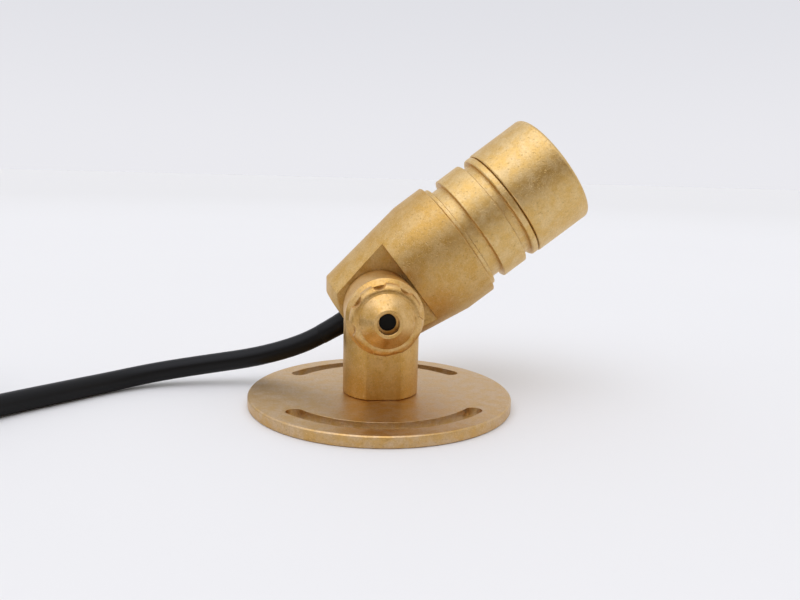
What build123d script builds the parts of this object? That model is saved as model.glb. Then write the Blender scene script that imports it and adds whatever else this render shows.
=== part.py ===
from build123d import *

import os
from math import cos, pi, radians, sin, tan

# Underwater pond light: a turned brass lamp head clamped to a post on a round base plate.
# Millimetres. The origin is the centre of the plate's underside, +Z is up and the clamp nut
# faces -Y. The head tilts about a horizontal axis that runs through the post along Y.

# ---- driving dimensions ---------------------------------------------------------------------

PLATE_R = 50.0
PLATE_T = 4.2
SLOT_R = 40.0  # mean radius of the two arc slots
SLOT_W = 6.3
SLOT_HALF = 52.1  # degrees each side of the middle
SLOT_TURN = -0.9

PIVOT_Z = 35.5
POST_R = 14.3
POST_FRONT = 13.0  # flat faces of the post, measured from its axis
POST_BACK = 7.9

TILT = 37.66  # head above the horizontal
HEAD_Y = 23.0  # head's axis behind the post's axis
HEAD_RISE = 0.45  # head's axis above the pivot
FLAT_Y = 8.7  # milled face of the head that meets the pivot washer
SHOULDER = 15.2  # end of the milled face along the head

STUD_R = 3.98
GAP = 0.05  # running clearance between turned parts

# stations along the head, from the pivot towards the light
HOUSING_END = 41.1
BARREL_END = 65.0
CAP_START = 65.15
CAP_END = 89.7
SEAT = 86.6  # lens seat in the cap

HOUSING_R = 25.4
BAND_R = 23.55
CAP_R = 23.68
GROOVE_R = 21.0
CAVITY_R = 20.5

CORD_R = 3.9
SWIVEL_R = 22.6  # the cord's end in the head turns inside this radius about the pivot
COIL_LIFT = 1.2  # thickness of the ties under the coil, with its slack
COIL_TURNS = 5  # turns side by side in each of two layers
COIL_MEAN = 12 * CORD_R  # radius of the middle turn
PLUG_R = 7.5

# ---- planes ---------------------------------------------------------------------------------

AIM = Vector(cos(radians(TILT)), 0, sin(radians(TILT)))
LIFT = Vector(-sin(radians(TILT)), 0, cos(radians(TILT)))
HEAD_ORIGIN = Vector(0, HEAD_Y, PIVOT_Z) + LIFT * HEAD_RISE

# In each plane local x runs along the turning axis and local y is the radius.
HEAD = Plane(origin=HEAD_ORIGIN, x_dir=AIM, z_dir=(0, -1, 0))
PIVOT = Plane(origin=(0, 0, PIVOT_Z), x_dir=(0, -1, 0), z_dir=(1, 0, 0))
UPRIGHT = Plane(origin=(0, 0, 0), x_dir=(0, 0, 1), z_dir=(0, -1, 0))


def across(station):
    """Plane square to the head's axis: local x is sideways, away from the nut, and y is up."""
    return Plane(origin=HEAD_ORIGIN + AIM * station, x_dir=(0, 1, 0), z_dir=AIM)


def turn(plane, *points, mode=Mode.ADD):
    """Revolves a closed outline of (along, radius) points about the plane's x axis."""
    with BuildSketch(plane) as outline:
        with BuildLine():
            Polyline(*points, close=True)
        make_face()
    revolve(outline.sketch, axis=Axis(plane.origin, plane.x_dir), mode=mode)


def torus(plane, along, radius, thick):
    """A ring of round section about the plane's x axis."""
    with BuildSketch(plane) as section:
        with Locations((along, radius)):
            Circle(thick)
    revolve(section.sketch, axis=Axis(plane.origin, plane.x_dir))


def save(piece, name):
    piece.part.label = name
    export_step(piece.part, "parts/" + name + ".step")


os.makedirs("parts", exist_ok=True)

# ---- base plate -----------------------------------------------------------------------------

SCREW_R = 2.48
SCREW_X = 7.0  # two screws side by side, so that the post can't turn
SCREW_SPOTS = [Plane(origin=(x, 0, 0), x_dir=(0, 0, 1), z_dir=(0, -1, 0)) for x in (-SCREW_X, SCREW_X)]

with BuildPart() as base_plate:
    with BuildSketch():
        Circle(PLATE_R)
    extrude(amount=PLATE_T)
    chamfer(base_plate.edges().group_by(Axis.Z)[-1], 0.5)
    chamfer(base_plate.edges().group_by(Axis.Z)[0], 0.3)
    with BuildSketch():
        for middle in (90, -90):
            with BuildLine(mode=Mode.PRIVATE) as path:
                CenterArc((0, 0), SLOT_R, middle + SLOT_TURN - SLOT_HALF, 2 * SLOT_HALF)
            SlotArc(path.edge(), SLOT_W)
    extrude(amount=PLATE_T, mode=Mode.SUBTRACT)
    for spot in SCREW_SPOTS:
        turn(spot, (0, 0), (0, 5.3), (2.65, 2.65), (PLATE_T, 2.65), (PLATE_T, 0), mode=Mode.SUBTRACT)
save(base_plate, "base_plate")

# ---- post with its round knuckle ------------------------------------------------------------

with BuildPart() as post:
    with BuildSketch(Plane.XY.offset(PLATE_T)):
        Circle(POST_R)
        with Locations((0, (POST_BACK - POST_FRONT) / 2)):
            Rectangle(2 * POST_R, POST_FRONT + POST_BACK, mode=Mode.INTERSECT)
    extrude(amount=PIVOT_Z - PLATE_T)
    chamfer(post.edges().group_by(Axis.Z)[0], 0.4)
    with BuildSketch(Plane.XZ.offset(POST_FRONT)):
        with Locations((0, PIVOT_Z)):
            Circle(POST_R)
    extrude(amount=-(POST_FRONT + POST_BACK))
    turn(PIVOT, (-POST_BACK, 0), (-POST_BACK, STUD_R + GAP), (POST_FRONT, STUD_R + GAP),
         (POST_FRONT, 0), mode=Mode.SUBTRACT)
    for spot in SCREW_SPOTS:
        turn(spot, (PLATE_T, 0), (PLATE_T, SCREW_R + GAP), (16, SCREW_R + GAP), (17.3, 0),
             mode=Mode.SUBTRACT)
save(post, "post")

with BuildPart() as post_screws:
    for spot in SCREW_SPOTS:
        turn(spot, (0.2, 0), (0.2, 4.95), (0.35, 4.95), (2.75, SCREW_R), (13.6, SCREW_R), (14, 2.0), (14, 0))
    with BuildSketch(Plane.XY.offset(0.2)):
        with Locations((-SCREW_X, 0), (SCREW_X, 0)):
            RegularPolygon(1.9, 6)
    extrude(amount=2.0, mode=Mode.SUBTRACT)
save(post_screws, "post_screws")

# ---- clamp: washers, stud, nut and its plug -------------------------------------------------

NUT_BACK = 15.65
NUT_R = 13.1
NUT_FRONT = 26.4
NUT_MOUTH_R = 3.76
STEP_AT = 21.2
LEDGE_AT = 22.3  # ledge in the mouth that keeps the plug in
LEDGE_R = 3.05
VALLEY_R = 11.3  # radius left at the middle of each scallop
CUTTER_R = 3.2
SCALLOPS = 8
FIRST_SCALLOP = 103.5  # degrees from +X about the pivot, which puts one just left of the top

with BuildPart() as pivot_washer:
    turn(PIVOT, (-POST_BACK, 4.3), (-POST_BACK, 13.4), (-FLAT_Y + GAP, 13.4), (-FLAT_Y + GAP, 4.3))
save(pivot_washer, "pivot_washer")

with BuildPart() as cone_washer:
    rear = POST_FRONT + GAP
    turn(PIVOT, (rear, 4.3), (rear, POST_R), (rear + 0.4, POST_R), (NUT_BACK - GAP, 12.2),
         (NUT_BACK - GAP, 4.3))
save(cone_washer, "cone_washer")

with BuildPart() as clamp_nut:
    with BuildSketch(PIVOT):
        with BuildLine():
            Polyline((NUT_BACK, 4.02), (NUT_BACK, 12.3), (NUT_BACK + 0.8, NUT_R), (18.2, NUT_R))
            ThreePointArc((18.2, NUT_R), (20.3, 12.3), (STEP_AT, 10.5))
            Polyline((STEP_AT, 10.5), (STEP_AT, 9.9), (STEP_AT + 0.3, 9.7), (25.8, 5.5),
                     (NUT_FRONT, 5.0), (NUT_FRONT, NUT_MOUTH_R + 0.2), (NUT_FRONT - 0.2, NUT_MOUTH_R),
                     (LEDGE_AT, NUT_MOUTH_R), (LEDGE_AT, LEDGE_R), (21.65, LEDGE_R),
                     (21.65, NUT_MOUTH_R), (20.2, NUT_MOUTH_R), (20.2, 4.02), (NUT_BACK, 4.02))
        make_face()
    revolve(axis=Axis(PIVOT.origin, PIVOT.x_dir))
    with BuildSketch(Plane.XZ.offset(NUT_BACK)):
        with Locations((0, PIVOT_Z)):
            with PolarLocations(VALLEY_R + CUTTER_R, SCALLOPS, start_angle=FIRST_SCALLOP):
                Circle(CUTTER_R)
    extrude(amount=8, mode=Mode.SUBTRACT)
save(clamp_nut, "clamp_nut")

with BuildPart() as nut_plug:
    turn(PIVOT, (20.25, 0), (20.25, 3.72), (21.6, 3.72), (21.6, LEDGE_R - GAP),
         (LEDGE_AT - 0.2, LEDGE_R - GAP), (LEDGE_AT, 2.8), (LEDGE_AT, 0))
save(nut_plug, "nut_plug")

with BuildPart() as pivot_stud:
    turn(PIVOT, (-16.9, 0), (-16.9, 3.5), (-16.4, STUD_R), (19.6, STUD_R), (20.1, 3.5), (20.1, 0))
save(pivot_stud, "pivot_stud")

# ---- rear housing: coned bar with a milled flat, bored from the front -----------------------

GLAND_R = 8.0
GLAND_FLOOR = -7.0
REAR = -14.0
CABLE_HOLE_R = 4.1
CAVITY_FLOOR = 19.0

with BuildPart() as rear_housing:
    turn(HEAD, (REAR, 0), (REAR, 14.9), (REAR + 0.3, 15.3), (-10.6, 19.4), (-10.2, 19.65),
         (28, HOUSING_R), (HOUSING_END - 0.4, HOUSING_R), (HOUSING_END, HOUSING_R - 0.4),
         (HOUSING_END, CAVITY_R), (CAVITY_FLOOR, CAVITY_R), (CAVITY_FLOOR, 0))
    turn(HEAD, (REAR, 0), (REAR, GLAND_R), (GLAND_FLOOR, GLAND_R), (GLAND_FLOOR, CABLE_HOLE_R),
         (CAVITY_FLOOR, CABLE_HOLE_R), (CAVITY_FLOOR, 0), mode=Mode.SUBTRACT)
    with BuildSketch(HEAD.offset(HEAD_Y - FLAT_Y)):
        with Locations((SHOULDER - 30, 0)):
            Rectangle(60, 70)
    extrude(amount=30, mode=Mode.SUBTRACT)
    turn(PIVOT, (-17, 0), (-17, STUD_R + 0.02), (-FLAT_Y, STUD_R + 0.02), (-FLAT_Y, 0),
         mode=Mode.SUBTRACT)
save(rear_housing, "rear_housing")

# ---- front barrel: collar, groove, band, groove and ring, with the thread for the cap -------

TAIL_START = 27.0
TAIL_BORE = 17.5
BULKHEAD = (56.0, 60.0)
WIRE_HOLE_R = 5.0
THREAD_R = 20.0
THREAD_END = 74.5
NOSE_R = 19.0
NOSE_END = 82.0
NOSE_BORE = 15.9
BOARD_SCREW_R = 14.0  # radius of the circle that the three board screws stand on

with BuildPart() as front_barrel:
    joint = HOUSING_END + 0.02
    turn(HEAD, (TAIL_START, TAIL_BORE), (TAIL_START, CAVITY_R - GAP), (37.2, CAVITY_R - GAP),
         (37.2, 18.55), (39.2, 18.55), (39.2, CAVITY_R - GAP), (joint, CAVITY_R - GAP),
         (joint, 23.0), (joint + 0.3, 23.3), (42.7, 23.3), (43.0, 23.0), (43.0, GROOVE_R),
         (47.75, GROOVE_R), (47.75, 23.2), (48.05, BAND_R), (58.2, BAND_R), (58.5, 23.2),
         (58.5, GROOVE_R), (62.05, GROOVE_R), (62.05, 22.9), (62.5, 23.35), (64.5, 23.35),
         (BARREL_END, 22.9), (BARREL_END, THREAD_R), (THREAD_END, THREAD_R), (THREAD_END, NOSE_R),
         (76.2, NOSE_R), (76.2, 17.0), (78.2, 17.0), (78.2, NOSE_R), (NOSE_END, NOSE_R),
         (NOSE_END, NOSE_BORE), (BULKHEAD[1], NOSE_BORE), (BULKHEAD[1], WIRE_HOLE_R),
         (BULKHEAD[0], WIRE_HOLE_R), (BULKHEAD[0], TAIL_BORE))
    with BuildSketch(across(BULKHEAD[1])):
        with PolarLocations(BOARD_SCREW_R, 3, start_angle=90):
            Circle(1.27)
    extrude(amount=-3, mode=Mode.SUBTRACT)
save(front_barrel, "front_barrel")

with BuildPart() as housing_oring:
    torus(HEAD, 38.2, 19.5, 0.92)
save(housing_oring, "housing_oring")

with BuildPart() as cap_oring:
    torus(HEAD, 77.2, 18.08, 0.95)
save(cap_oring, "cap_oring")

# ---- cap and lens ---------------------------------------------------------------------------

with BuildPart() as lens_cap:
    with BuildSketch(HEAD):
        with BuildLine():
            Polyline((CAP_START, THREAD_R + 0.06), (CAP_START, 23.3), (CAP_START + 0.35, CAP_R),
                     (87.9, CAP_R))
            RadiusArc((87.9, CAP_R), (CAP_END, CAP_R - 1.8), 1.8)
            Polyline((CAP_END, CAP_R - 1.8), (CAP_END, 17.4), (88.9, 16.6), (SEAT, 16.6),
                     (SEAT, NOSE_R + 0.12), (75.6, NOSE_R + 0.12), (75.6, THREAD_R + 0.06),
                     (CAP_START, THREAD_R + 0.06))
        make_face()
    revolve(axis=Axis(HEAD.origin, HEAD.x_dir))
save(lens_cap, "lens_cap")

with BuildPart() as lens_gasket:
    turn(HEAD, (NOSE_END + 0.02, 15.9), (NOSE_END + 0.02, 18.9), (82.6, 18.9), (82.6, 15.9))
save(lens_gasket, "lens_gasket")

with BuildPart() as lens_glass:
    turn(HEAD, (82.62, 0), (82.62, 18.7), (82.92, NOSE_R), (SEAT - 0.35, NOSE_R), (SEAT - 0.05, 18.7),
         (SEAT - 0.05, 0))
save(lens_glass, "lens_glass")

# ---- light engine ---------------------------------------------------------------------------

BOARD = BULKHEAD[1] + 0.02
BOARD_T = 1.6
CHIP_CIRCLE_R = 5.6
CHIP = 3.5

with BuildPart() as led_board:
    with BuildSketch(across(BOARD)):
        Circle(NOSE_BORE - 0.2)
        with Locations((0, -3.3)):
            Rectangle(4.6, 1.9, mode=Mode.SUBTRACT)
        with PolarLocations(BOARD_SCREW_R, 3, start_angle=90):
            Circle(1.35, mode=Mode.SUBTRACT)
    extrude(amount=BOARD_T)
save(led_board, "led_board")

with BuildPart() as led_chips:
    with BuildSketch(across(BOARD + BOARD_T)):
        with PolarLocations(CHIP_CIRCLE_R, 4, start_angle=45, rotate=False):
            Rectangle(CHIP, CHIP)
    extrude(amount=0.8)
    with BuildSketch(across(BOARD + BOARD_T + 0.8)):
        with PolarLocations(CHIP_CIRCLE_R, 4, start_angle=45, rotate=False):
            Circle(1.4)
    extrude(amount=0.9, taper=30)
save(led_chips, "led_chips")

with BuildPart() as board_screws:
    with BuildSketch(across(BOARD + BOARD_T)):
        with PolarLocations(BOARD_SCREW_R, 3, start_angle=90):
            Circle(1.6)
    extrude(amount=1.2)
    with BuildSketch(across(BOARD + BOARD_T)):
        with PolarLocations(BOARD_SCREW_R, 3, start_angle=90):
            Circle(1.25)
    extrude(amount=-(BOARD_T + 2.6))
save(board_screws, "board_screws")

with BuildPart() as reflector:
    foot = BOARD + BOARD_T + 0.03
    turn(HEAD, (foot, 11.4), (foot, 12.0), (68, 13.9), (75, 15.2), (81.2, 15.7), (81.2, 15.2),
         (75, 14.6), (68, 13.2))
save(reflector, "reflector")

# ---- driver ---------------------------------------------------------------------------------

DRIVER_TOP = -4.0  # face of the driver board, below the head's axis
DRIVER_T = 1.6
DRIVER_HALF = 13.0
DRIVER = (20.0, 54.0)
# On the deck, local x runs along the head and local y away from the nut.
deck = Plane(origin=HEAD_ORIGIN + LIFT * DRIVER_TOP, x_dir=AIM, z_dir=LIFT)

with BuildPart() as driver_board:
    with BuildSketch(deck):
        with Locations(((DRIVER[0] + DRIVER[1]) / 2, 0)):
            Rectangle(DRIVER[1] - DRIVER[0], 2 * DRIVER_HALF)
    extrude(amount=-DRIVER_T)
save(driver_board, "driver_board")

with BuildPart() as board_clip:
    with BuildSketch(across(50)):
        Circle(TAIL_BORE - GAP)
        Rectangle(22, 25, mode=Mode.SUBTRACT)
        with Locations((0, DRIVER_TOP - DRIVER_T / 2)):
            Rectangle(2 * DRIVER_HALF + 0.1, DRIVER_T + 0.1, mode=Mode.SUBTRACT)
    extrude(amount=3)
save(board_clip, "board_clip")

with BuildPart() as driver_choke:
    with BuildSketch(deck):
        with Locations((36.5, 5.5)):
            Circle(5)
    extrude(amount=6)
save(driver_choke, "driver_choke")

with BuildPart() as driver_capacitor:
    with BuildSketch(deck):
        with Locations((36.5, -6.5)):
            Circle(4)
    extrude(amount=10)
save(driver_capacitor, "driver_capacitor")

with BuildPart() as driver_chips:
    with BuildSketch(deck):
        with Locations((45.5, 6), (45.5, -5)):
            Rectangle(5, 6)
    extrude(amount=1.8)
save(driver_chips, "driver_chips")

with BuildPart() as terminal_block:
    with BuildSketch(deck):
        with Locations((25, 0)):
            Rectangle(8, 10)
    extrude(amount=8)
    with BuildSketch(across(21)):
        with Locations((-2.5, 0), (2.5, 0)):
            Circle(1.3)
    extrude(amount=5, mode=Mode.SUBTRACT)
save(terminal_block, "terminal_block")

with BuildPart() as led_wires:
    with BuildSketch(across(50.5)):
        with Locations((-1.4, -3.3), (1.4, -3.3)):
            Circle(0.68)
    extrude(amount=BOARD + 0.6 - 50.5)
save(led_wires, "led_wires")

# ---- cable entry: gland, seal, strain relief and the cord's end in the head -----------------

CORE_R = 1.2
EXIT_AT = -13.0
EXIT_SLOPE = 30.0  # the cord droops less than the head's axis, so its end bends in the gland
exit_way = Vector(cos(radians(EXIT_SLOPE)), 0, sin(radians(EXIT_SLOPE)))
EXIT = Plane(origin=HEAD_ORIGIN + AIM * EXIT_AT, x_dir=exit_way, z_dir=(0, -1, 0))

with BuildPart() as gland_nut:
    turn(HEAD, (-13.7, 5.0), (-13.7, GLAND_R - GAP), (-9.5, GLAND_R - GAP), (-9.5, 5.0))
    with BuildSketch(across(-13.7)):
        with PolarLocations(6.35, 4):
            Circle(0.7)
    extrude(amount=2, mode=Mode.SUBTRACT)
save(gland_nut, "gland_nut")

with BuildPart() as gland_seal:
    turn(HEAD, (-9.45, CORD_R + 0.03), (-9.45, GLAND_R - GAP), (-7.05, GLAND_R - GAP),
         (-7.05, CORD_R + 0.03))
save(gland_seal, "gland_seal")

with BuildPart() as swivel:
    with BuildSketch(Plane.XZ.offset(-HEAD_Y - 20)):
        with Locations((0, PIVOT_Z)):
            Circle(SWIVEL_R)
    extrude(amount=60)

with BuildPart() as strain_relief:
    turn(EXIT, (-14, CORD_R + 0.03), (-14, 4.1), (-5, 4.25), (-1, 4.75), (2.6, 4.75),
         (2.6, CORD_R + 0.03))
    add(swivel.part, mode=Mode.INTERSECT)
save(strain_relief, "strain_relief")

with BuildPart() as cord_end:
    turn(HEAD, (EXIT_AT + 3.4, 0), (EXIT_AT + 3.4, CORD_R), (2, CORD_R), (2, 0))
    turn(EXIT, (-14, 0), (-14, CORD_R), (3.6, CORD_R), (3.6, 0))
    add(swivel.part, mode=Mode.INTERSECT)
save(cord_end, "cord_end")

with BuildPart() as core_wires:
    for side in (-1, 1):
        with BuildSketch(across(2.03)):
            with Locations((side * 2.5, 0)):
                Circle(CORE_R)
        extrude(amount=23)
save(core_wires, "core_wires")

# ---- cord: the stretch that lies free -------------------------------------------------------

# Route from the head's swivel over the plate's edge, down to the floor and round to the coil.
LEAD_ROUTE = [
    (-18.9, 23.0, 23.1),
    (-24.1, 23.0, 20.1),
    (-30.4, 23.1, 17.1),
    (-38.9, 23.5, 14.1),
    (-50.5, 24.1, 11.1),
    (-65.0, 24.8, 8.8),
    (-77.0, 24.4, 7.1),
    (-87.0, 23.3, 5.7),
    (-96.0, 20.2, 4.6),
    (-104.0, 15.0, 3.95),
    (-111.5, 8.2, 3.95),
    (-119.0, 1.0, 3.95),
    (-126.5, -6.0, 3.95),
    (-135.5, -15.0, 3.95),
    (-147.5, -33.5, 4.5),
    (-159.0, -52.0, 5.1),
]


def bend_radii(route):
    """One radius for each corner: 0.45 of the shorter run over the tangent of half the turn."""
    radii = []
    for before, corner, after in zip(route, route[1:], route[2:]):
        run_in = Vector(*corner) - Vector(*before)
        run_out = Vector(*after) - Vector(*corner)
        half_turn = radians(run_in.get_angle(run_out)) / 2
        radii.append(0.45 * min(run_in.length, run_out.length) / tan(half_turn))
    return radii


def cord_along(route):
    """Sweeps the cord's round section along straight runs joined by tangent arcs."""
    radii = bend_radii(route)
    with BuildLine() as path:
        FilletPolyline(*route, radius=radii)
    start = Plane(origin=route[0], z_dir=Vector(*route[1]) - Vector(*route[0]))
    with BuildSketch(start) as section:
        Circle(CORD_R)
    sweep(section.sketch, path=path.wire())
    print("cord run:", round(path.wire().length, 1), "mm, radii", [round(r, 1) for r in radii])
    return path.wire().length


with BuildPart() as cord_lead:
    lead_length = cord_along(LEAD_ROUTE)
    add(swivel.part, mode=Mode.SUBTRACT)
save(cord_lead, "cord_lead")
print("lead volume over section x length:",
      round(cord_lead.part.volume / (pi * CORD_R**2 * lead_length), 4))

# ---- cord: the put-away coil, its ties and its tail -----------------------------------------

last_run = Vector(*LEAD_ROUTE[-1]) - Vector(*LEAD_ROUTE[-2])
last_run = Vector(last_run.X, last_run.Y, 0).normalized()
COIL_OUT = COIL_MEAN + (COIL_TURNS - 1) * CORD_R  # radius of the outermost turn
coil_centre = Vector(*LEAD_ROUTE[-1]) + Vector(last_run.Y, -last_run.X, 0) * COIL_OUT
coil_axis = Plane(origin=(coil_centre.X, coil_centre.Y, 0), x_dir=(0, 0, 1), z_dir=(0, -1, 0))
COIL_HIGH = COIL_LIFT + 4 * CORD_R
HALF_WIDTH = COIL_TURNS * CORD_R
print("coil centre", round(coil_centre.X, 2), round(coil_centre.Y, 2), "outer turn", COIL_OUT)

with BuildPart() as cord_coil:
    with BuildSketch(coil_axis):
        with Locations(((COIL_LIFT + COIL_HIGH) / 2, COIL_MEAN)):
            RectangleRounded(COIL_HIGH - COIL_LIFT, 2 * HALF_WIDTH, CORD_R)
    revolve(axis=Axis(coil_axis.origin, coil_axis.x_dir))
save(cord_coil, "cord_coil")


def spoke(angle):
    """Unit vector in the floor plane at an angle about the coil's centre."""
    return Vector(cos(radians(angle)), sin(radians(angle)), 0)


TIE_T = 1.0
TIE_W = 5.0

with BuildPart() as coil_ties:
    for angle in (-75, -165):
        wall = Plane(origin=coil_axis.origin, x_dir=spoke(angle), z_dir=spoke(angle - 90))
        with BuildSketch(wall):
            with Locations((COIL_MEAN, (COIL_LIFT + COIL_HIGH) / 2)):
                tie_window = (2 * HALF_WIDTH + 0.4, COIL_HIGH - COIL_LIFT + 0.2)
                Rectangle(tie_window[0] + 2 * TIE_T, tie_window[1] + 2 * TIE_T)
                Rectangle(*tie_window, mode=Mode.SUBTRACT)
        extrude(amount=TIE_W / 2, both=True)
save(coil_ties, "coil_ties")

TAIL_AT = 130.0  # where the last turn ends, about the coil's centre
TAIL_BEND = 41.0
PLUG_Z = COIL_HIGH + PLUG_R
half_run = TAIL_BEND * tan(radians(15))
corner_out = TAIL_BEND / cos(radians(15))


def on_tail(distance, angle, height):
    """A point at an angle about the centre of the tail's bend."""
    flat = coil_centre + spoke(TAIL_AT) * (COIL_OUT - TAIL_BEND) + spoke(angle) * distance
    return (flat.X, flat.Y, height)


tail_start = coil_centre + spoke(TAIL_AT) * COIL_OUT - spoke(TAIL_AT - 90) * half_run
plug_entry = Vector(*on_tail(TAIL_BEND, TAIL_AT - 90, PLUG_Z)) - spoke(TAIL_AT) * half_run
TAIL_ROUTE = [
    (tail_start.X, tail_start.Y, COIL_LIFT + 3 * CORD_R),
    on_tail(corner_out, TAIL_AT - 15, 15.6),
    on_tail(corner_out, TAIL_AT - 45, 21.0),
    on_tail(corner_out, TAIL_AT - 75, PLUG_Z),
    (plug_entry.X, plug_entry.Y, PLUG_Z),
]

with BuildPart() as cord_tail:
    cord_along(TAIL_ROUTE)
save(cord_tail, "cord_tail")

# ---- waterproof connector on the cord's end, lying on the coil ------------------------------

PLUG = Plane(origin=plug_entry, x_dir=-spoke(TAIL_AT), z_dir=spoke(TAIL_AT - 90))

with BuildPart() as plug_nut:
    turn(PLUG, (0.02, 0), (0.02, 4.9), (1.2, 6.0), (9, 6.9), (9, 0))
save(plug_nut, "plug_nut")

with BuildPart() as plug_body:
    turn(PLUG, (9.02, 0), (9.02, PLUG_R - 0.4), (9.42, PLUG_R), (25.6, PLUG_R), (26, PLUG_R - 0.4), (26, 0))
save(plug_body, "plug_body")

with BuildPart() as plug_shroud:
    turn(PLUG, (26.02, 5.6), (26.02, PLUG_R - 0.6), (35.6, PLUG_R - 0.6), (36, 6.5), (36, 5.6))
save(plug_shroud, "plug_shroud")

with BuildPart() as plug_pins:
    with BuildSketch(Plane(origin=plug_entry - spoke(TAIL_AT) * 26.02, z_dir=-spoke(TAIL_AT))):
        with Locations((0, 2.4), (0, -2.4)):
            Circle(1.1)
    extrude(amount=8)
save(plug_pins, "plug_pins")
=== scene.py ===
import math

import bmesh
import bpy
from mathutils import Matrix, Vector


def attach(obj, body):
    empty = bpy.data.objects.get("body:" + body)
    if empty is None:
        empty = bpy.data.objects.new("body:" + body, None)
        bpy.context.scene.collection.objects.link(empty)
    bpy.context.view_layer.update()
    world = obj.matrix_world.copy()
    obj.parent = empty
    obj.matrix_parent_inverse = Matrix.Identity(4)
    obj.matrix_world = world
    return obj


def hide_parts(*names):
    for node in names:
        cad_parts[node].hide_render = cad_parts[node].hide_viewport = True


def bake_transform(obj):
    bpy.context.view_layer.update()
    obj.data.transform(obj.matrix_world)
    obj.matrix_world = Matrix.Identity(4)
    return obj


# An underwater pond light: a tumbled brass lamp head clamped to a post on a round plate, with a
# black rubber cable. Metres, in the CAD frame: +Z is up and the clamp nut faces -Y.

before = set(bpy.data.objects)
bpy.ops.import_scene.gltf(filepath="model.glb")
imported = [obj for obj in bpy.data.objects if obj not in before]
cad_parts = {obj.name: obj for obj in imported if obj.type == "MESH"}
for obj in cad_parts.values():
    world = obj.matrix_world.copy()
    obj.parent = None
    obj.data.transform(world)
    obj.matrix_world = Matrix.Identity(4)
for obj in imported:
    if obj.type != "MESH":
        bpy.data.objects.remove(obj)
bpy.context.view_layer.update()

# ---- camera -----------------------------------------------------------------------------------
# It stands low in front of the clamp nut, a little to its left, with a wide lens, and is turned
# slightly about its own axis.

LOOK = Vector((0.1197, 0.9780, -0.1702))
CAMERA_ROLL = math.radians(1.54)

camera = bpy.data.objects.new("camera", bpy.data.cameras.new("camera"))
bpy.context.collection.objects.link(camera)
bpy.context.scene.camera = camera
camera.data.lens = 32.35
camera.data.clip_start = 0.01
camera.location = (-0.0257, -0.2659, 0.0858)
facing = LOOK.to_track_quat("-Z", "Y").to_matrix()
camera.rotation_euler = (facing @ Matrix.Rotation(CAMERA_ROLL, 3, "Z")).to_euler()

# ---- studio -----------------------------------------------------------------------------------
# A white sweep under a wide soft box. The room behind the camera is dim, which gives the round
# brass its darker middle band between the light from above and the light off the table.


class Wire:
    """A socket of a node tree; arithmetic on it adds Math nodes."""

    def __init__(self, tree, socket=None):
        self.tree, self.socket = tree, socket

    def add(self, kind, inputs=None, output=0, **settings):
        """Makes a node: its settings first, then the value or link of each named socket."""
        made = self.tree.nodes.new(kind)
        for name, value in settings.items():
            setattr(made, name, value)
        for key, value in (inputs or {}).items():
            if isinstance(value, Wire):
                self.tree.links.new(value.socket, made.inputs[key])
            else:
                made.inputs[key].default_value = value
        return Wire(self.tree, made.outputs[output] if made.outputs else None)

    def math(self, operation, *values):
        return self.add("ShaderNodeMath", dict(enumerate(values)), operation=operation)

    def __add__(self, other):
        return self.math("ADD", self, other)

    def __sub__(self, other):
        return self.math("SUBTRACT", self, other)

    def __rsub__(self, other):
        return self.math("SUBTRACT", other, self)

    def __mul__(self, other):
        return self.math("MULTIPLY", self, other)

    def __truediv__(self, other):
        return self.math("DIVIDE", self, other)

    __radd__, __rmul__ = __add__, __mul__

    def step(self, low, high):
        """0 below low and 1 above high, with a soft slope between them."""
        inputs = {"Value": self, "From Min": low, "From Max": high}
        return self.add("ShaderNodeMapRange", inputs, interpolation_type="SMOOTHSTEP")

    def join(self, *parts):
        """All these pieces of geometry as one."""
        both = self.add("GeometryNodeJoinGeometry")
        for part in parts:
            self.tree.links.new(part.socket, both.socket.node.inputs[0])
        return both

    def mix(self, first, second):
        """The first colour where this value is 0 and the second where it is 1."""
        return self.add("ShaderNodeMix", {0: self, 6: first, 7: second}, output=2, data_type="RGBA")


def rgb(red, green, blue):
    return (red, green, blue, 1.0)


SWEEP_LOW = rgb(0.826, 0.824, 0.862)  # the backdrop at the table's level
SWEEP_HIGH = rgb(0.738, 0.742, 0.785)  # and well above it
ROOM_BRIGHT = rgb(0.87, 0.88, 0.93)  # white walls ahead of the camera and beside it
ROOM_DIM = rgb(0.15, 0.095, 0.045)  # the warm dark room behind it
BOX_BRIGHT = rgb(1.82, 1.86, 2.08)
BOX_TOWARDS = Vector((-0.22, -0.28, 0.93)).normalized()

world = bpy.data.worlds.new("studio")
bpy.context.scene.world = world
world.use_nodes = True
world.node_tree.nodes.clear()
room = Wire(world.node_tree)
ray = room.add("ShaderNodeTexCoord", output=0)
across, up = (room.add("ShaderNodeSeparateXYZ", {0: ray}, output=axis) for axis in (1, 2))
dimness = (0.0 - across).step(0.10, 0.90) * (1.0 - up.step(0.30, 0.80))
to_box = room.add("ShaderNodeVectorMath", {0: ray, 1: BOX_TOWARDS}, output=1, operation="DOT_PRODUCT")
light = to_box.step(0.74, 0.95).mix(dimness.mix(ROOM_BRIGHT, ROOM_DIM), BOX_BRIGHT)
lit = room.add("ShaderNodeBackground", {"Color": light})
sweep = room.add("ShaderNodeBackground", {"Color": up.step(0.0, 0.30).mix(SWEEP_LOW, SWEEP_HIGH)})
seen = room.add("ShaderNodeLightPath", output=0)
shown = room.add("ShaderNodeMixShader", {0: seen, 1: lit, 2: sweep})
room.add("ShaderNodeOutputWorld", {"Surface": shown})

bpy.context.scene.view_settings.view_transform = "Standard"

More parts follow.
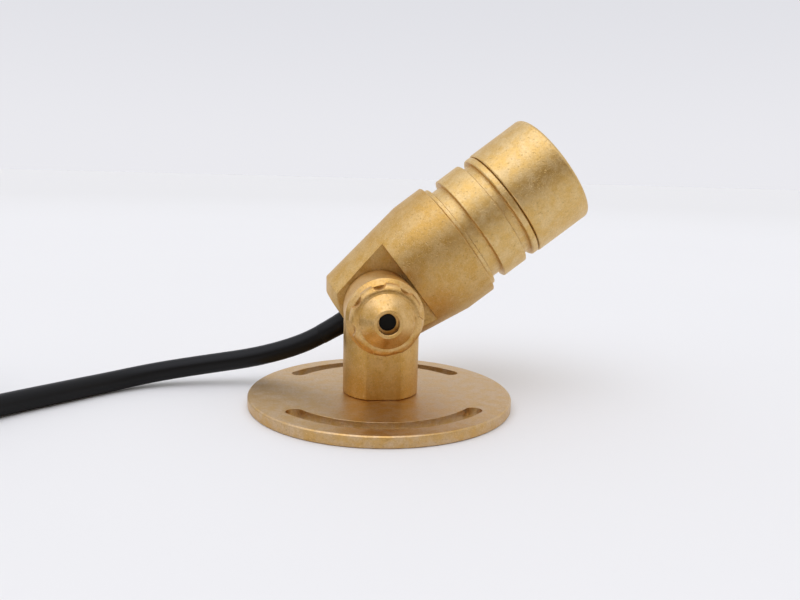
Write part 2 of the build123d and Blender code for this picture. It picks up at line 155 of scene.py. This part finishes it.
FLOOR_R = 20.0
FLOOR_DOWN = 0.00005  # just under the plate, so that the two faces don't flicker
floor_mesh = bpy.data.meshes.new("floor")
floor_shape = bmesh.new()
bmesh.ops.create_circle(floor_shape, cap_ends=True, radius=FLOOR_R, segments=96)
bmesh.ops.translate(floor_shape, verts=floor_shape.verts, vec=(0, 0, -FLOOR_DOWN))
floor_shape.to_mesh(floor_mesh)
floor = bpy.data.objects.new("floor", floor_mesh)
bpy.context.collection.objects.link(floor)


def new_finish(name):
    """An empty material, its tree and the piece's own coordinates in metres."""
    made = bpy.data.materials.new(name)
    made.use_nodes = True
    made.node_tree.nodes.clear()
    wire = Wire(made.node_tree)
    return made, wire, wire.add("ShaderNodeTexCoord", output=3)


def shade(wire, inputs):
    """Ends a material in one Principled surface with these socket values."""
    surface = wire.add("ShaderNodeBsdfPrincipled", inputs)
    wire.add("ShaderNodeOutputMaterial", {"Surface": surface})


def noise(wire, where, size, detail=2.0):
    """Soft random values about 0.5 with features of that size, in metres."""
    inputs = {"Vector": where, "Scale": 1 / size, "Detail": detail, "Roughness": 0.6}
    return wire.add("ShaderNodeTexNoise", inputs)


paper, wire, where = new_finish("sweep_paper")
distance = wire.add("ShaderNodeVectorMath", {0: where}, output=1, operation="LENGTH")
near_tone = noise(wire, where, 0.4).mix(rgb(0.825, 0.815, 0.785), rgb(0.845, 0.835, 0.805))
shade(wire, {
    "Base Color": distance.step(0.7, 2.6).mix(near_tone, rgb(0.788, 0.777, 0.742)),
    "Roughness": 0.60,
    "Specular IOR Level": 0.10,
})
floor.data.materials.append(paper)

# ---- base plate -------------------------------------------------------------------------------
# A turned brass disc with two arc slots for fixing screws. Its faces keep the lathe's fine rings
# under a satin, slightly dulled skin, and its edges are broken with a small chamfer.


def brass(name, bare, dull, roughness, rings=0.0):
    """Tumbled brass: cloudy tone, pits and nicks, with lathe rings about the plate if wanted."""
    made, wire, where = new_finish(name)
    cloud = noise(wire, where, 0.0045, 5.0)
    grain = noise(wire, where, 0.00070, 4.0)
    pits = noise(wire, where, 0.0008, 1.0).step(0.64, 0.72)
    drawn_out = {"Vector": where, "Rotation": (0.5, 0.9, 0.3), "Scale": (1, 1, 0.12)}
    stretched = wire.add("ShaderNodeMapping", drawn_out)
    cells = {"Vector": stretched, "Scale": 260.0}
    scratch = 1.0 - wire.add("ShaderNodeTexVoronoi", cells, feature="DISTANCE_TO_EDGE").step(0.008, 0.03)
    scratch = scratch * noise(wire, where, 0.004, 1.0).step(0.56, 0.64)
    tone = cloud.step(0.33, 0.68).mix(bare, dull)
    speck = noise(wire, where, 0.00038, 2.0).step(0.60, 0.70)
    tone = (grain.step(0.35, 0.65) * 0.22 + pits * 0.34).mix(tone, rgb(*(0.60 * part for part in bare[:3])))
    tone = (scratch * 0.14 + speck * 0.34).mix(tone, rgb(0.96, 0.80, 0.50))
    height = grain * 0.8 - pits * 1.3 - scratch * 0.25 + speck * 0.5 + cloud * 1.6
    if rings:
        flat = wire.add("ShaderNodeVectorMath", {0: where, 1: (1, 1, 0)}, operation="MULTIPLY")
        radius = wire.add("ShaderNodeVectorMath", {0: flat}, output=1, operation="LENGTH")
        at_radius = wire.add("ShaderNodeCombineXYZ", {0: radius})
        ring = noise(wire, at_radius, 0.00035, 3.0)
        height = height + ring * rings
        tone = (ring.step(0.4, 0.6) * 0.14).mix(tone, rgb(*(0.75 * part for part in bare[:3])))
    bump = wire.add("ShaderNodeBump", {"Strength": 0.42, "Distance": 0.00013, "Height": height})
    rough = cloud * 0.24 + grain * 0.14 + scratch * 0.08 + (roughness - 0.19)
    shade(wire, {"Base Color": tone, "Metallic": 1.0, "Roughness": rough, "Normal": bump})
    return made


def stand_for(name, mesh, body, node):
    """Makes a piece of a mesh that is already in place, and lets it stand for its CAD node."""
    piece = bpy.data.objects.new(name, mesh)
    bpy.context.collection.objects.link(piece)
    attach(piece, body)
    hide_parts(node)
    return piece


def tumbled(node, body, finish, softness):
    """A CAD node's copy with its sharp edges rounded over, as tumbling leaves them."""
    shape = bmesh.new()
    shape.from_mesh(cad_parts[node].data)
    bmesh.ops.remove_doubles(shape, verts=shape.verts, dist=2e-6)
    bmesh.ops.dissolve_limit(shape, angle_limit=math.radians(0.3), verts=shape.verts, edges=shape.edges)
    rough_cut = bpy.data.meshes.new(node + "_cut")
    shape.to_mesh(rough_cut)
    blank = bpy.data.objects.new(node + "_blank", rough_cut)
    bpy.context.collection.objects.link(blank)
    rounding = blank.modifiers.new("rounding", "BEVEL")
    rounding.width, rounding.segments = softness, 2
    rounding.limit_method, rounding.angle_limit = "ANGLE", math.radians(28)
    rounding.use_clamp_overlap = True
    even = blank.modifiers.new("even", "WEIGHTED_NORMAL")
    even.keep_sharp = True
    rough_cut.shade_smooth()
    made = bpy.data.meshes.new_from_object(blank.evaluated_get(bpy.context.evaluated_depsgraph_get()))
    bpy.data.objects.remove(blank)
    made.materials.clear()
    made.materials.append(finish)
    stand_for(node + "_finished", made, body, node)


plate_brass = brass("plate_brass", rgb(0.62, 0.38, 0.13), rgb(0.66, 0.48, 0.29), 0.38, rings=0.8)
tumbled("base_plate", "base", plate_brass, 0.00012)

# ---- post -------------------------------------------------------------------------------------
# A round brass bar milled flat front and back, with a full round knuckle on top. Two hidden
# countersunk steel screws hold it to the plate from below.


def dress(node, finish):
    """Gives a CAD node its finish."""
    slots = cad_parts[node].data.materials
    slots.clear()
    slots.append(finish)


post_brass = brass("post_brass", rgb(0.65, 0.38, 0.10), rgb(0.72, 0.46, 0.17), 0.41)
tumbled("post", "base", post_brass, 0.00016)

steel, wire, where = new_finish("zinc_steel")
shade(wire, {
    "Base Color": noise(wire, where, 0.002).mix(rgb(0.50, 0.51, 0.53), rgb(0.64, 0.64, 0.66)),
    "Metallic": 1.0,
    "Roughness": noise(wire, where, 0.0008) * 0.2 + 0.22,
})
dress("post_screws", steel)
dress("board_screws", steel)

# ---- clamp ------------------------------------------------------------------------------------
# A stud fixed in the head runs through the knuckle. A cone washer and a scalloped brass hand nut
# close on it, and a black plug shows at the bottom of the nut's mouth.

clamp_brass = brass("clamp_brass", rgb(0.62, 0.36, 0.10), rgb(0.74, 0.49, 0.21), 0.37)
tumbled("cone_washer", "washer", clamp_brass, 0.00010)
tumbled("clamp_nut", "nut", clamp_brass, 0.00012)
dress("pivot_stud", clamp_brass)


def rubber(name, black, worn, roughness):
    """Moulded black rubber or nylon with a fine matt skin."""
    made, wire, where = new_finish(name)
    skin = noise(wire, where, 0.0004, 3.0)
    patch = noise(wire, where, 0.006, 2.0).step(0.4, 0.7)
    bump = wire.add("ShaderNodeBump", {"Strength": 0.25, "Distance": 0.00005, "Height": skin})
    shade(wire, {
        "Base Color": (patch * 0.6 + skin * 0.2).mix(black, worn),
        "Roughness": patch * 0.08 + skin * 0.10 + (roughness - 0.09),
    "Specular IOR Level": 0.20,
        "Normal": bump,
    })
    return made


nylon = rubber("black_nylon", rgb(0.012, 0.012, 0.013), rgb(0.022, 0.022, 0.023), 0.45)
seal_rubber = rubber("seal_rubber", rgb(0.004, 0.004, 0.004), rgb(0.010, 0.010, 0.010), 0.60)
dress("pivot_washer", nylon)
dress("nut_plug", seal_rubber)

# ---- lamp head --------------------------------------------------------------------------------
# A coned rear housing with a milled flat for the knuckle, the barrel with its two turned grooves
# that screws into it, and the plain cap that holds the lens. All are tumbled brass.

head_brass = brass("head_brass", rgb(0.69, 0.44, 0.14), rgb(0.76, 0.55, 0.26), 0.42)
housing_brass = brass("housing_brass", rgb(0.62, 0.37, 0.10), rgb(0.68, 0.46, 0.19), 0.45)
tumbled("rear_housing", "head", housing_brass, 0.00015)
tumbled("front_barrel", "head", head_brass, 0.00012)
tumbled("lens_cap", "cap", head_brass, 0.00015)
for node in ("housing_oring", "cap_oring", "lens_gasket", "gland_seal"):
    dress(node, seal_rubber)

# ---- lens -------------------------------------------------------------------------------------
# A thick clear glass disc with a ground edge, seated on a black gasket behind the cap's lip.

glass, wire, where = new_finish("lens_glass")
shade(wire, {
    "Base Color": rgb(0.93, 0.97, 0.96),
    "Roughness": noise(wire, where, 0.004).step(0.5, 0.9) * 0.03,
    "IOR": 1.50,
    "Transmission Weight": 1.0,
})
dress("lens_glass", glass)

# ---- light engine -----------------------------------------------------------------------------
# Four yellow phosphor chips with low domes on a round white board, three screws, and a spun
# aluminium reflector with a satin skin round them.

lacquer, wire, where = new_finish("board_white")
shade(wire, {
    "Base Color": noise(wire, where, 0.003).mix(rgb(0.78, 0.78, 0.75), rgb(0.86, 0.86, 0.83)),
    "Roughness": noise(wire, where, 0.001) * 0.2 + 0.3,
})
dress("led_board", lacquer)

mirror, wire, where = new_finish("spun_aluminium")
ripple = noise(wire, where, 0.0012, 1.0)
shade(wire, {
    "Base Color": noise(wire, where, 0.004).mix(rgb(0.80, 0.81, 0.83), rgb(0.90, 0.90, 0.91)),
    "Metallic": 1.0,
    "Roughness": ripple * 0.15 + 0.12,
    "Normal": wire.add("ShaderNodeBump", {"Strength": 0.4, "Distance": 0.0002, "Height": ripple}),
})
dress("reflector", mirror)

phosphor, wire, where = new_finish("led_phosphor")
shade(wire, {
    "Base Color": noise(wire, where, 0.0006).mix(rgb(0.85, 0.62, 0.06), rgb(0.93, 0.74, 0.15)),
    "Roughness": noise(wire, where, 0.0005) * 0.1 + 0.22,
    "Coat Weight": 0.6,
})


def grow(name, finish, sizes, shape):
    """Runs a geometry tree over its named sizes and keeps the result as one plain mesh."""
    tree = bpy.data.node_groups.new(name, "GeometryNodeTree")
    tree.interface.new_socket("Geometry", in_out="OUTPUT", socket_type="NodeSocketGeometry")
    for label, value in sizes.items():
        kind = "NodeSocketInt" if isinstance(value, int) else "NodeSocketFloat"
        tree.interface.new_socket(label, in_out="INPUT", socket_type=kind)
    start = tree.nodes.new("NodeGroupInput")
    grown = shape(Wire(tree), *(Wire(tree, start.outputs[label]) for label in sizes))
    grown = grown.add("GeometryNodeRealizeInstances", {"Geometry": grown})
    grown = grown.add("GeometryNodeSetMaterial", {"Geometry": grown, "Material": finish})
    tree.links.new(grown.socket, tree.nodes.new("NodeGroupOutput").inputs[0])
    holder = bpy.data.objects.new(name, bpy.data.meshes.new(name))
    bpy.context.collection.objects.link(holder)
    modifier = holder.modifiers.new("shape", "NODES")
    modifier.node_group = tree
    for item in tree.interface.items_tree:
        if item.in_out == "INPUT":
            modifier[item.identifier] = sizes[item.name]
    made = bpy.data.meshes.new_from_object(holder.evaluated_get(bpy.context.evaluated_depsgraph_get()))
    bpy.data.objects.remove(holder)
    made.name = name
    return made


def chips(tree, count, circle, package, lift, dome):
    """Square packages on a circle, each with a shallow round dome standing on it."""
    block_size = tree.add("ShaderNodeCombineXYZ", {0: package, 1: package, 2: lift})
    block = tree.add("GeometryNodeMeshCube", {"Size": block_size})
    half_up = tree.add("ShaderNodeCombineXYZ", {2: lift * 0.5})
    block = tree.add("GeometryNodeTransform", {"Geometry": block, "Translation": half_up})
    ball = tree.add("GeometryNodeMeshUVSphere", {"Segments": 32, "Rings": 20, "Radius": dome})
    ball = tree.add("GeometryNodeSetShadeSmooth", {"Geometry": ball})
    all_up = tree.add("ShaderNodeCombineXYZ", {2: lift})
    squat = {"Geometry": ball, "Translation": all_up, "Scale": (1.0, 1.0, 0.62)}
    both = tree.join(block, tree.add("GeometryNodeTransform", squat))
    ring = tree.add("GeometryNodeMeshCircle", {"Vertices": count, "Radius": circle})
    ring = tree.add("GeometryNodeTransform", {"Geometry": ring, "Rotation": (0.0, 0.0, math.pi / 4)})
    return tree.add("GeometryNodeInstanceOnPoints", {"Points": ring, "Instance": both})


HEAD_TILT = math.radians(37.66)
AIM = Vector((math.cos(HEAD_TILT), 0, math.sin(HEAD_TILT)))
HEAD_MIDDLE = Vector((-0.000275, 0.023, 0.035856))  # on the head's axis, nearest to the pivot
BOARD_FACE = HEAD_MIDDLE + AIM * 0.06162  # the LED board's front
chip_sizes = {"count": 4, "circle": 0.0056, "package": 0.0035, "lift": 0.0008, "dome": 0.0014}
chip_mesh = grow("led_chips_domed", phosphor, chip_sizes, chips)
chip_mesh.transform(Matrix.Translation(BOARD_FACE) @ AIM.to_track_quat("Z", "Y").to_matrix().to_4x4())
stand_for("led_chips_domed", chip_mesh, "head", "led_chips")

# ---- driver -----------------------------------------------------------------------------------
# A green circuit board clipped behind the bulkhead, with a choke, a capacitor, two chips and the
# terminal block that the cable's wires are screwed into. It is closed in by the housing.


def plain(name, first, second, roughness, size=0.002):
    """A moulded or painted surface with a slight tone and gloss change."""
    made, wire, where = new_finish(name)
    cloud = noise(wire, where, size, 3.0)
    shade(wire, {"Base Color": cloud.mix(first, second), "Roughness": cloud * 0.16 + (roughness - 0.08)})
    return made


for node, finish in {
    "driver_board": plain("board_green", rgb(0.010, 0.11, 0.035), rgb(0.015, 0.16, 0.055), 0.35),
    "driver_choke": plain("ferrite", rgb(0.030, 0.030, 0.034), rgb(0.055, 0.052, 0.050), 0.60),
    "driver_capacitor": plain("sleeve_blue", rgb(0.010, 0.02, 0.07), rgb(0.014, 0.03, 0.10), 0.30),
    "driver_chips": plain("chip_black", rgb(0.012, 0.012, 0.013), rgb(0.024, 0.024, 0.026), 0.45),
    "terminal_block": plain("terminal_green", rgb(0.02, 0.22, 0.10), rgb(0.03, 0.30, 0.14), 0.40),
    "led_wires": plain("wire_red", rgb(0.42, 0.012, 0.01), rgb(0.52, 0.020, 0.015), 0.40),
    "core_wires": plain("wire_brown", rgb(0.10, 0.035, 0.012), rgb(0.14, 0.05, 0.02), 0.42),
    "board_clip": nylon,
}.items():
    dress(node, finish)

# ---- cable entry ------------------------------------------------------------------------------
# A ring nut with four pin holes presses a rubber seal on the cable, and a short tapered strain
# relief holds it where it leaves the housing.

dress("gland_nut", clamp_brass)

# ---- cable ------------------------------------------------------------------------------------
# A round two-core cable in a black rubber jacket, 7.8 mm thick. It leaves the head's back, sags
# over the plate to the table, and its spare length is wound eight and a half times in two layers.

CORD_R = 0.0039
LEAD = [
    (-0.0189, 0.0230, 0.0231), (-0.0241, 0.0230, 0.0201), (-0.0304, 0.0231, 0.0171),
    (-0.0389, 0.0235, 0.0141), (-0.0505, 0.0241, 0.0111), (-0.0650, 0.0248, 0.0088),
    (-0.0770, 0.0244, 0.0071), (-0.0870, 0.0233, 0.0057), (-0.0960, 0.0202, 0.0046),
    (-0.1040, 0.0150, 0.00395), (-0.1115, 0.0082, 0.00395), (-0.1190, 0.0010, 0.00395),
    (-0.1265, -0.0060, 0.00395), (-0.1355, -0.0150, 0.00395), (-0.1475, -0.0335, 0.0045),
    (-0.1590, -0.0520, 0.0051),
]
OUTER_TURN = 16 * CORD_R
TURN_STEP = 15  # degrees from one point of a turn to the next
FIRST_STEP_IN = 90  # degrees of the coil's turning before its second turn moves inwards
WHOLE_TURNS = 8
LOW_LAYER, HIGH_LAYER = 0.0051, 0.0129
TAIL_AT = 130  # where the tail leaves the coil, about the coil's centre
TAIL_BEND = 0.041

last_run = (Vector(LEAD[-1]) - Vector(LEAD[-2])).xy.normalized()
coil_centre = Vector(LEAD[-1]).xy + Vector((last_run.y, -last_run.x)) * OUTER_TURN
first_angle = math.degrees(math.atan2(last_run.x, -last_run.y))
turning = int(360 * WHOLE_TURNS + (first_angle - TAIL_AT) % 360)  # from the first point to the tail


def spoke(angle):
    return Vector((math.cos(math.radians(angle)), math.sin(math.radians(angle))))


def stairs(turned, most):
    """Whole steps, one a turn, each spread over its first half turn."""
    if turned <= 0:
        return 0
    half = min(1, 2 * (turned % 1))
    return min(most, int(turned) + half * half * (3 - 2 * half))


def coil_point(turned):
    """The cable's middle after that many degrees of the coil: in by four steps, up, and out again."""
    inwards = stairs((turned - FIRST_STEP_IN) / 360, 4)
    upwards = stairs((turned - FIRST_STEP_IN - 1350) / 360, 1)
    outwards = stairs((turned - FIRST_STEP_IN - 1620) / 360, 4)
    flat = coil_centre + spoke(first_angle - turned) * (OUTER_TURN - 2 * CORD_R * (inwards - outwards))
    return (*flat, LOW_LAYER + (HIGH_LAYER - LOW_LAYER) * upwards)


coil = [coil_point(turned) for turned in range(TURN_STEP, turning - TURN_STEP, TURN_STEP)]

PLUG_Z = 0.0243
half_run = TAIL_BEND * math.tan(math.radians(15))
tail_start = coil_centre + spoke(TAIL_AT) * OUTER_TURN - spoke(TAIL_AT - 90) * half_run
tail_centre = coil_centre + spoke(TAIL_AT) * (OUTER_TURN - TAIL_BEND)
plug_entry = tail_centre + spoke(TAIL_AT - 90) * TAIL_BEND - spoke(TAIL_AT) * half_run
tail = [(*tail_start, HIGH_LAYER)]
for angle, height in ((TAIL_AT - 15, 0.0156), (TAIL_AT - 45, 0.0210), (TAIL_AT - 75, PLUG_Z)):
    tail.append((*(tail_centre + spoke(angle) * TAIL_BEND / math.cos(math.radians(15))), height))
tail.append((*plug_entry, PLUG_Z))

line = bpy.data.curves.new("cord_line", "CURVE")
line.dimensions = "3D"
line.resolution_u = 6
spline = line.splines.new("NURBS")
route = LEAD + coil + tail
spline.points.add(len(route) - 1)
for control, place in zip(spline.points, route):
    control.co = (*place, 1)
spline.order_u = 3
spline.use_endpoint_u = True
line_object = bpy.data.objects.new("cord_line", line)
line_mesh = bpy.data.meshes.new_from_object(line_object)
path = [vertex.co.copy() for vertex in line_mesh.vertices]
bpy.data.objects.remove(line_object)


def tube(name, path, radii, sides):
    """A round tube along a path, with UVs round it and along it in metres."""
    rings, faces = [], []
    side = Vector((0, 1, 0))
    neighbours = zip([path[0], *path[:-1]], [*path[1:], path[-1]])
    for here, radius, (before, after) in zip(path, radii, neighbours):
        along = (after - before).normalized()
        side = (side - along * side.dot(along)).normalized()
        other = along.cross(side)
        for k in range(sides):
            turn = 2 * math.pi * k / sides
            rings.append(here + (side * math.cos(turn) + other * math.sin(turn)) * radius)
    for i in range(len(path) - 1):
        for k in range(sides):
            a, b = i * sides + k, i * sides + (k + 1) % sides
            faces.append((a, b, b + sides, a + sides))
    faces.append(tuple(reversed(range(sides))))
    faces.append(tuple(range(len(rings) - sides, len(rings))))
    made = bpy.data.meshes.new(name)
    made.from_pydata(rings, [], faces)
    travel = [0.0]
    for before, after in zip(path, path[1:]):
        travel.append(travel[-1] + (after - before).length)
    layer = made.uv_layers.new(name="jacket")
    for face in made.polygons[:-2]:
        first, k = divmod(face.index, sides)
        for corner, (column, row) in zip(face.loop_indices, ((0, 0), (1, 0), (1, 1), (0, 1))):
            layer.data[corner].uv = ((k + column) / sides, travel[first + row])
    made.shade_smooth()
    return made


cable = bpy.data.objects.new("power_cable", tube("power_cable", path, [CORD_R] * len(path), 28))
bpy.context.collection.objects.link(cable)

jacket, wire, where = new_finish("cable_jacket")
lengths = wire.add("ShaderNodeUVMap", uv_map="jacket")
drawn = wire.add("ShaderNodeMapping", {"Vector": lengths, "Scale": (26.0, 14.0, 1.0)})
streak = wire.add("ShaderNodeTexNoise", {"Vector": drawn, "Scale": 1.0, "Detail": 2.0})
skin = noise(wire, where, 0.0006, 3.0)
dust = noise(wire, where, 0.0016, 2.0).step(0.68, 0.78)
height = streak * 0.8 + skin * 0.25
shade(wire, {
    "Base Color": (streak * 0.3 + dust * 0.4).mix(rgb(0.003, 0.003, 0.003), rgb(0.022, 0.022, 0.023)),
    "Roughness": streak * 0.12 + skin * 0.10 + 0.30,
    "Specular IOR Level": 0.20,
    "Normal": wire.add("ShaderNodeBump", {"Strength": 0.35, "Distance": 0.00012, "Height": height}),
})
cable.data.materials.append(jacket)
dress("cord_end", jacket)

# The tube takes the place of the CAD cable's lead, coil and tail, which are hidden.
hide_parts("cord_lead", "cord_coil", "cord_tail")
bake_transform(cable)

EXIT_SLOPE = math.radians(30)  # the cable droops less than the head's axis where it comes out
EXIT_BACK = 0.013  # from HEAD_MIDDLE back along the head's axis
exit_middle = HEAD_MIDDLE - AIM * EXIT_BACK
exit_way = Vector((math.cos(EXIT_SLOPE), 0, math.sin(EXIT_SLOPE)))
relief_profile = [  # along the cable's way out, and radius
    (-0.0140, 0.00392), (-0.0137, 0.00402), (-0.0100, 0.00408), (-0.0060, 0.00420), (-0.0035, 0.00440),
    (-0.0015, 0.00466), (0.0000, 0.00475), (0.0026, 0.00475),
]
relief_path = [exit_middle + exit_way * along for along, radius in relief_profile]
relief_mesh = tube("strain_relief_moulded", relief_path, [radius for along, radius in relief_profile], 40)
relief_mesh.materials.append(jacket)
strain_relief = stand_for("strain_relief_moulded", relief_mesh, "head", "strain_relief")

# ---- coil ties --------------------------------------------------------------------------------
# Two black nylon ties hold the coil: a flat strap round all the turns, closed through a small
# ratchet head on top with its cut end standing proud.


STRAP_CORNER_R = 0.0040
RATCHET = (0.0072, 0.0066, 0.0044)
CUT_END = (0.0150, 0.0044, 0.0010)
CUT_END_SLOPE = 0.38


def ties(tree, count, circle, first, apart, wide, high, thick):
    """Straps round the coil's turns, each with a ratchet head and a cut end standing up."""
    opening = {"Width": wide + thick, "Height": high + thick}
    window = tree.add("GeometryNodeCurvePrimitiveQuadrilateral", opening)
    rounded = {"Curve": window, "Radius": STRAP_CORNER_R, "Count": 8}
    window = tree.add("GeometryNodeFilletCurve", rounded, mode="POLY")
    section = tree.add("GeometryNodeCurvePrimitiveQuadrilateral", {"Width": thick, "Height": thick * 4.6})
    strap = tree.add("GeometryNodeCurveToMesh", {"Curve": window, "Profile Curve": section})
    upright = {"Geometry": strap, "Rotation": (math.pi / 2, 0.0, 0.0)}
    strap = tree.add("GeometryNodeTransform", upright)
    on_top = high * 0.5 + thick
    block = tree.add("GeometryNodeMeshCube", {"Size": RATCHET})
    block_at = tree.add("ShaderNodeCombineXYZ", {0: 0.004, 2: on_top + 0.0012})
    block = tree.add("GeometryNodeTransform", {"Geometry": block, "Translation": block_at})
    end = tree.add("GeometryNodeMeshCube", {"Size": CUT_END})
    end_at = tree.add("ShaderNodeCombineXYZ", {0: 0.0135, 2: on_top + 0.0042})
    tilted = {"Geometry": end, "Translation": end_at, "Rotation": (0.0, -CUT_END_SLOPE, 0.0)}
    tie = tree.join(strap, block, tree.add("GeometryNodeTransform", tilted))
    arc = {"Resolution": count, "Radius": circle, "Start Angle": first, "Sweep Angle": apart}
    points = tree.add("GeometryNodeCurveArc", arc)
    turn = tree.add("GeometryNodeInputIndex") * apart + first
    outwards = tree.add("ShaderNodeCombineXYZ", {2: turn})
    held = {"Points": points, "Instance": tie, "Rotation": outwards}
    return tree.add("GeometryNodeInstanceOnPoints", held)


tie_sizes = {
    "count": 2, "circle": 12 * CORD_R, "first": math.radians(-165), "apart": math.radians(90),
    "wide": 0.0394, "high": 0.0158, "thick": 0.0010,
}
tie_mesh = grow("coil_ties_finished", nylon, tie_sizes, ties)
tie_mesh.transform(Matrix.Translation((*coil_centre, (LOW_LAYER + HIGH_LAYER) / 2)))
coil_ties = stand_for("coil_ties_finished", tie_mesh, "base", "coil_ties")

# ---- connector --------------------------------------------------------------------------------
# A two-pin waterproof connector ends the cable: ribbed gland nut, plain body and open shroud.

for node in ("plug_body", "plug_shroud"):
    dress(node, nylon)
dress("plug_pins", steel)


def ribbed_nut(tree, ribs, radius, length):
    """A coned nut with straight ribs all round for the fingers."""
    cone = {"Vertices": 48, "Radius Top": radius * 0.95, "Radius Bottom": radius * 0.78, "Depth": length}
    body = tree.add("GeometryNodeMeshCone", cone)
    rib_size = tree.add("ShaderNodeCombineXYZ", {0: radius * 0.16, 1: radius * 0.10, 2: length * 0.80})
    rib = tree.add("GeometryNodeMeshCube", {"Size": rib_size})
    ring = tree.add("GeometryNodeMeshCircle", {"Vertices": ribs, "Radius": radius * 0.92})
    middle = tree.add("ShaderNodeCombineXYZ", {2: length * 0.56})
    ring = tree.add("GeometryNodeTransform", {"Geometry": ring, "Translation": middle})
    turn = tree.add("GeometryNodeInputIndex") / ribs * (2 * math.pi)
    outwards = tree.add("ShaderNodeCombineXYZ", {2: turn})
    held = {"Points": ring, "Instance": rib, "Rotation": outwards}
    return tree.join(body, tree.add("GeometryNodeInstanceOnPoints", held))


nut_mesh = grow("plug_nut_ribbed", nylon, {"ribs": 20, "radius": 0.0070, "length": 0.0090}, ribbed_nut)
along_plug = Vector((*(-spoke(TAIL_AT)), 0)).to_track_quat("Z", "Y").to_matrix().to_4x4()
nut_mesh.transform(Matrix.Translation((*plug_entry, PLUG_Z)) @ along_plug)
plug_nut = stand_for("plug_nut_ribbed", nut_mesh, "base", "plug_nut")
